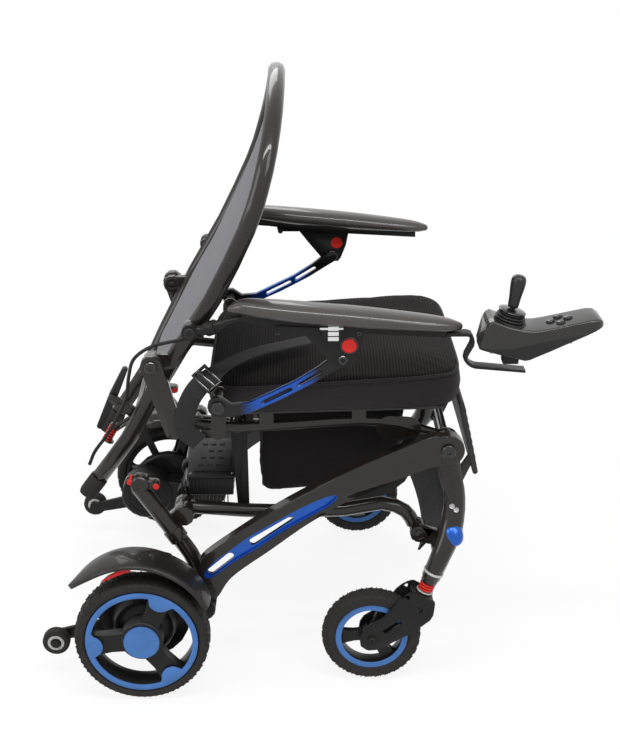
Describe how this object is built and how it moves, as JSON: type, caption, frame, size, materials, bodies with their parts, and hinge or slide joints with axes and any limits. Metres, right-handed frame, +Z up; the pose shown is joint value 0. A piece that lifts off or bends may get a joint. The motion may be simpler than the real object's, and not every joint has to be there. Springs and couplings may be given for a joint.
{
  "type": "folding power wheelchair",
  "caption": "Folding electric wheelchair with crossed-link frame, padded seat, slung back, armrest joystick, hub-motor rear wheels and sprung front casters.",
  "frame": {"origin": "on the floor, below the middle of the bounding box", "axes": "+X forward, +Y to the user's left, +Z up; the joystick side is -Y"},
  "size_m": [0.9383, 0.691, 1.033],
  "materials": {
    "carbon": "glossy dark carbon-fibre lay-up",
    "paint_black": "satin black paint",
    "rubber": "matt black rubber",
    "tyre": "matt black treaded rubber",
    "blue": "metallic blue anodised look",
    "red": "satin red",
    "fabric": "black spacer mesh and webbing",
    "grey_fabric": "light grey woven back cover",
    "plastic": "fine-grained black plastic"
  },
  "bodies": {
    "chair": {"rear_frame": "carbon", "controller_body": "plastic", "controller_lid": "plastic", "right_axle_bracket": "paint_black", "right_motor": "paint_black", "right_fender": "plastic", "left_axle_bracket": "paint_black", "left_motor": "paint_black", "left_fender": "plastic"},
    "right_drive_wheel": {"right_drive_tyre": "tyre", "right_drive_rim": "paint_black", "right_drive_ring": "blue"},
    "right_anti_tip": {"right_anti_tip_wheel": "rubber"},
    "right_swivel": {"right_caster_fork": "paint_black", "right_caster_spring": "red"},
    "right_caster": {"right_caster_tyre": "tyre", "right_caster_rim": "paint_black"},
    "right_button": {"right_release_button": "red"},
    "left_drive_wheel": {"left_drive_tyre": "tyre", "left_drive_rim": "paint_black", "left_drive_ring": "blue"},
    "left_anti_tip": {"left_anti_tip_wheel": "rubber"},
    "left_swivel": {"left_caster_fork": "paint_black", "left_caster_spring": "red"},
    "left_caster": {"left_caster_tyre": "tyre", "left_caster_rim": "paint_black"},
    "left_button": {"left_release_button": "red"},
    "side_members": {"right_side_member": "carbon", "left_side_member": "carbon"},
    "front_legs": {"right_front_leg": "carbon", "left_front_leg": "carbon", "calf_strap": "fabric"},
    "footplate": {"footplate": "plastic"},
    "seat": {"seat_frame": "carbon", "seat_cushion": "fabric", "under_seat_bag": "fabric", "seat_belt": "fabric"},
    "seat_links": {"right_seat_link": "paint_black", "left_seat_link": "paint_black"},
    "lower_links": {"right_lower_link": "carbon", "left_lower_link": "carbon"},
    "backrest": {"backrest_hoop": "carbon", "back_fabric": "grey_fabric", "lever_spring": "red", "joystick_cable": "rubber"},
    "armrests": {"right_armrest_pad": "carbon", "left_armrest_pad": "carbon", "right_armrest_bracket": "plastic", "left_armrest_bracket": "plastic", "joystick_bracket": "plastic", "joystick_housing": "plastic", "joystick_bellows": "rubber"},
    "armrest_links": {"right_armrest_link": "blue", "left_armrest_link": "blue"},
    "fold_lever": {"fold_lever": "plastic"},
    "stick": {"joystick_stick": "rubber"},
    "key_1": {"joystick_key_1": "plastic"},
    "key_2": {"joystick_key_2": "plastic"},
    "key_3": {"joystick_key_3": "plastic"},
    "key_4": {"joystick_key_4": "plastic"}
  },
  "joints": [
    {"name": "frame_fold", "type": "hinge", "parent": "chair", "child": "side_members", "pos_m": [-0.1758, 0, 0.165], "axis": [0, 1, 0], "range_deg": [-15, 12]},
    {"name": "leg_fold", "type": "hinge", "parent": "side_members", "child": "front_legs", "pos_m": [0.2342, 0, 0.434], "axis": [0, 1, 0], "range_deg": [-10.5, 8.4]},
    {"name": "seat_tilt", "type": "hinge", "parent": "side_members", "child": "seat", "pos_m": [0.2342, 0, 0.434], "axis": [0, 1, 0], "range_deg": [-0.6, 0.6]},
    {"name": "lower_link_fold", "type": "hinge", "parent": "chair", "child": "lower_links", "pos_m": [-0.2183, 0, 0.297], "axis": [0, 1, 0], "range_deg": [-13, 10.5]},
    {"name": "seat_link_fold", "type": "hinge", "parent": "seat", "child": "seat_links", "pos_m": [-0.1208, 0, 0.453], "axis": [0, 1, 0], "range_deg": [-12.6, 10.1]},
    {"name": "back_fold", "type": "hinge", "parent": "seat", "child": "backrest", "pos_m": [-0.2588, 0, 0.58], "axis": [0, 1, 0], "range_deg": [-20, 29]},
    {"name": "armrest_fold", "type": "hinge", "parent": "backrest", "child": "armrests", "pos_m": [-0.1913, 0, 0.65], "axis": [0, 1, 0], "range_deg": [-20.4, 14.1]},
    {"name": "armrest_link_fold", "type": "hinge", "parent": "seat", "child": "armrest_links", "pos_m": [-0.1478, 0, 0.528], "axis": [0, 1, 0], "range_deg": [-14.2, 20.6]},
    {"name": "footplate_fold", "type": "hinge", "parent": "front_legs", "child": "footplate", "pos_m": [0.2582, 0, 0.318], "axis": [0, 1, 0], "range_deg": [0, 105]},
    {"name": "fold_lever_pull", "type": "hinge", "parent": "backrest", "child": "fold_lever", "pos_m": [-0.3428, -0.1, 0.472], "axis": [0, 1, 0], "range_deg": [-8, 20], "stiffness_Nm_per_rad": 0.6},
    {"name": "stick_tilt", "type": "hinge", "parent": "armrests", "child": "stick", "pos_m": [0.3182, -0.283, 0.674], "axis": [0, 1, 0], "range_deg": [-18, 18], "stiffness_Nm_per_rad": 0.08, "deforming": ["joystick_bellows"]},
    {"name": "right_drive_spin", "type": "hinge", "parent": "chair", "child": "right_drive_wheel", "pos_m": [-0.2858, -0.312, 0.1165], "axis": [0, 1, 0], "continuous": true},
    {"name": "right_anti_tip_spin", "type": "hinge", "parent": "chair", "child": "right_anti_tip", "pos_m": [-0.4452, -0.2588, 0.0717], "axis": [0, 1, 0], "continuous": true},
    {"name": "right_caster_swivel", "type": "hinge", "parent": "front_legs", "child": "right_swivel", "pos_m": [0.2112, -0.267, 0.199], "axis": [0.3584, 0, 0.9336], "continuous": true},
    {"name": "right_caster_spin", "type": "hinge", "parent": "right_swivel", "child": "right_caster", "pos_m": [0.1097, -0.267, 0.0875], "axis": [0, 1, 0], "continuous": true},
    {"name": "right_button_press", "type": "slide", "parent": "armrests", "child": "right_button", "axis": [0, 1, 0], "range_m": [0, 0.0025], "stiffness_N_per_m": 900},
    {"name": "left_drive_spin", "type": "hinge", "parent": "chair", "child": "left_drive_wheel", "pos_m": [-0.2858, 0.312, 0.1165], "axis": [0, 1, 0], "continuous": true},
    {"name": "left_anti_tip_spin", "type": "hinge", "parent": "chair", "child": "left_anti_tip", "pos_m": [-0.4452, 0.2588, 0.0717], "axis": [0, 1, 0], "continuous": true},
    {"name": "left_caster_swivel", "type": "hinge", "parent": "front_legs", "child": "left_swivel", "pos_m": [0.2112, 0.267, 0.199], "axis": [0.3584, 0, 0.9336], "continuous": true},
    {"name": "left_caster_spin", "type": "hinge", "parent": "left_swivel", "child": "left_caster", "pos_m": [0.1097, 0.267, 0.0875], "axis": [0, 1, 0], "continuous": true},
    {"name": "left_button_press", "type": "slide", "parent": "armrests", "child": "left_button", "axis": [0, -1, 0], "range_m": [0, 0.0025], "stiffness_N_per_m": 900},
    {"name": "key_1_press", "type": "slide", "parent": "armrests", "child": "key_1", "axis": [0, 0, -1], "range_m": [0, 0.001], "stiffness_N_per_m": 1200},
    {"name": "key_2_press", "type": "slide", "parent": "armrests", "child": "key_2", "axis": [0, 0, -1], "range_m": [0, 0.001], "stiffness_N_per_m": 1200},
    {"name": "key_3_press", "type": "slide", "parent": "armrests", "child": "key_3", "axis": [0, 0, -1], "range_m": [0, 0.001], "stiffness_N_per_m": 1200},
    {"name": "key_4_press", "type": "slide", "parent": "armrests", "child": "key_4", "axis": [0, 0, -1], "range_m": [0, 0.001], "stiffness_N_per_m": 1200}
  ],
  "couplings": [
    {"joint": "leg_fold", "follows": "frame_fold", "ratio": 0.687},
    {"joint": "seat_tilt", "follows": "frame_fold", "ratio": -0.032},
    {"joint": "lower_link_fold", "follows": "frame_fold", "ratio": 0.853},
    {"joint": "seat_link_fold", "follows": "frame_fold", "ratio": 0.83},
    {"joint": "armrest_fold", "follows": "back_fold", "ratio": -0.6996},
    {"joint": "armrest_link_fold", "follows": "back_fold", "ratio": 0.7052}
  ]
}
